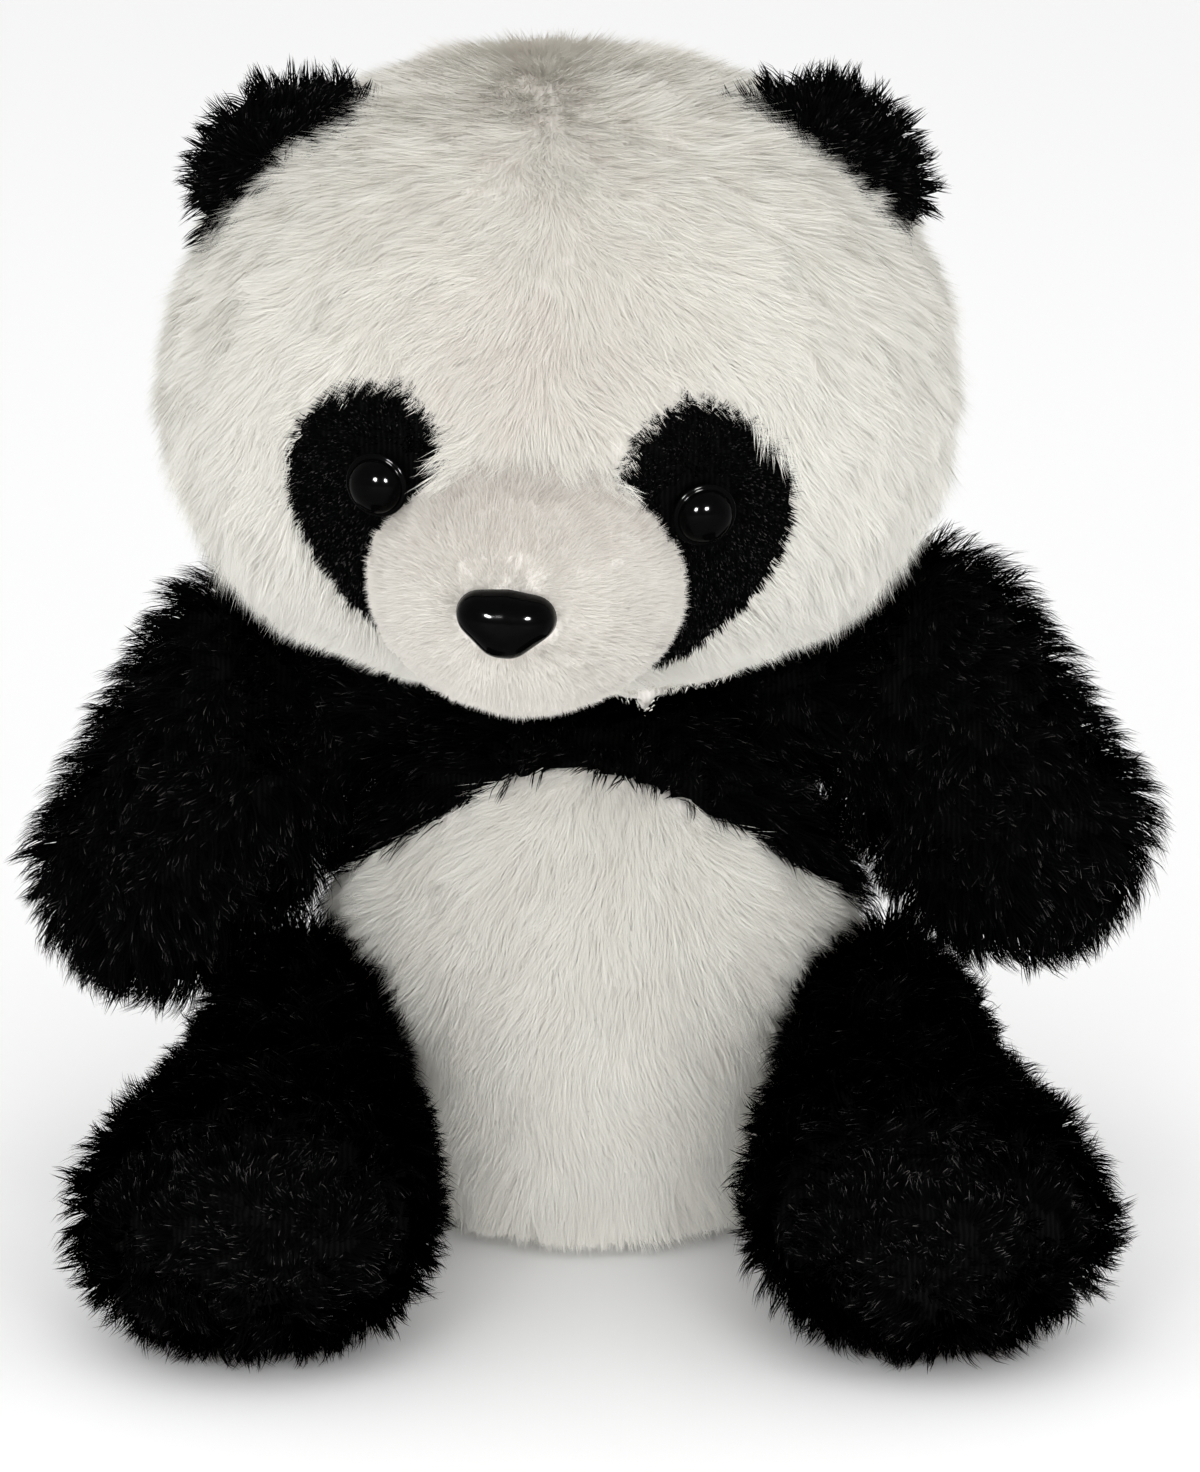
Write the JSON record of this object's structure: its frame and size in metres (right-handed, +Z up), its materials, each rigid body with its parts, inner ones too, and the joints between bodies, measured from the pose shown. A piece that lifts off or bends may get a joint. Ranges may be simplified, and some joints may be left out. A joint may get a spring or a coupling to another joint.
{
  "type": "plush panda",
  "caption": "Sitting stuffed panda in long pile fabric, with glossy safety eyes and nose, and a head, ears, arms and legs that flex on their seams and spring back.",
  "frame": {"origin": "centre of the flat seat, on the surface that it sits on", "axes": "+Z up, the face and feet look along -Y, +X is the right-hand side as seen from the front"},
  "size_m": [0.1576, 0.1285, 0.1706],
  "materials": {
    "white_plush": "long soft pile, off-white",
    "muzzle_plush": "short dense pile, cream",
    "black_plush": "long pile, black with sparse bright tips",
    "black_short_plush": "shorter dense pile, black",
    "eye_gloss": "polished moulded black",
    "nose_gloss": "polished moulded black",
    "washer_plastic": "moulded natural white",
    "stuffing": "loose polyester fibre",
    "pellet_cloth": "plain cloth bag of plastic pellets"
  },
  "bodies": {
    "torso": {"seat_panel": "white_plush", "belly_left": "white_plush", "belly_right": "white_plush", "back_left": "white_plush", "back_right": "white_plush", "chest_yoke": "black_plush", "shoulder_yoke": "black_plush", "body_stuffing": "stuffing", "pellet_bag": "pellet_cloth"},
    "neck": {"neck_stuffing": "stuffing"},
    "head": {"head_side_left": "white_plush", "head_side_right": "white_plush", "head_back": "white_plush", "eye_patch_left": "black_short_plush", "eye_patch_right": "black_short_plush", "muzzle": "muzzle_plush", "eye_left": "eye_gloss", "eye_right": "eye_gloss", "eye_washer_left": "washer_plastic", "eye_washer_right": "washer_plastic", "nose": "nose_gloss", "nose_washer": "washer_plastic", "head_stuffing": "stuffing"},
    "ear_left": {"ear_left_front": "black_plush", "ear_left_back": "black_plush"},
    "ear_right": {"ear_right_front": "black_plush", "ear_right_back": "black_plush"},
    "arm_left": {"arm_left_front": "black_plush", "arm_left_back": "black_plush", "arm_left_stuffing": "stuffing"},
    "arm_right": {"arm_right_front": "black_plush", "arm_right_back": "black_plush", "arm_right_stuffing": "stuffing"},
    "leg_left": {"leg_left_inner": "black_plush", "leg_left_outer": "black_plush", "foot_sole_left": "black_short_plush", "leg_left_stuffing": "stuffing"},
    "leg_right": {"leg_right_inner": "black_plush", "leg_right_outer": "black_plush", "foot_sole_right": "black_short_plush", "leg_right_stuffing": "stuffing"}
  },
  "joints": [
    {"name": "neck_turn", "type": "hinge", "parent": "torso", "child": "neck", "pos_m": [-0.002, -0.002, 0.084], "axis": [0, 0, 1], "range_deg": [-20, 20], "stiffness_Nm_per_rad": 0.3},
    {"name": "neck_nod", "type": "hinge", "parent": "neck", "child": "head", "pos_m": [-0.002, -0.002, 0.084], "axis": [1, 0, 0], "range_deg": [-8, 8], "stiffness_Nm_per_rad": 0.4},
    {"name": "ear_left_fold", "type": "hinge", "parent": "head", "child": "ear_left", "pos_m": [-0.0412, -0.015, 0.1533], "axis": [0.829, 0, 0.5592], "range_deg": [-30, 30], "stiffness_Nm_per_rad": 0.01},
    {"name": "ear_right_fold", "type": "hinge", "parent": "head", "child": "ear_right", "pos_m": [0.0318, -0.015, 0.1533], "axis": [0.829, 0, -0.5592], "range_deg": [-30, 30], "stiffness_Nm_per_rad": 0.01},
    {"name": "arm_left_swing", "type": "hinge", "parent": "torso", "child": "arm_left", "pos_m": [-0.036, 0.008, 0.075], "axis": [-1, 0, 0], "range_deg": [-10, 45], "stiffness_Nm_per_rad": 0.15},
    {"name": "arm_right_swing", "type": "hinge", "parent": "torso", "child": "arm_right", "pos_m": [0.036, 0.008, 0.075], "axis": [-1, 0, 0], "range_deg": [-10, 45], "stiffness_Nm_per_rad": 0.15},
    {"name": "leg_left_lift", "type": "hinge", "parent": "torso", "child": "leg_left", "pos_m": [-0.036, -0.008, 0.021], "axis": [-1, 0, 0], "range_deg": [0, 25], "stiffness_Nm_per_rad": 0.2},
    {"name": "leg_right_lift", "type": "hinge", "parent": "torso", "child": "leg_right", "pos_m": [0.036, -0.008, 0.021], "axis": [-1, 0, 0], "range_deg": [0, 25], "stiffness_Nm_per_rad": 0.2}
  ]
}
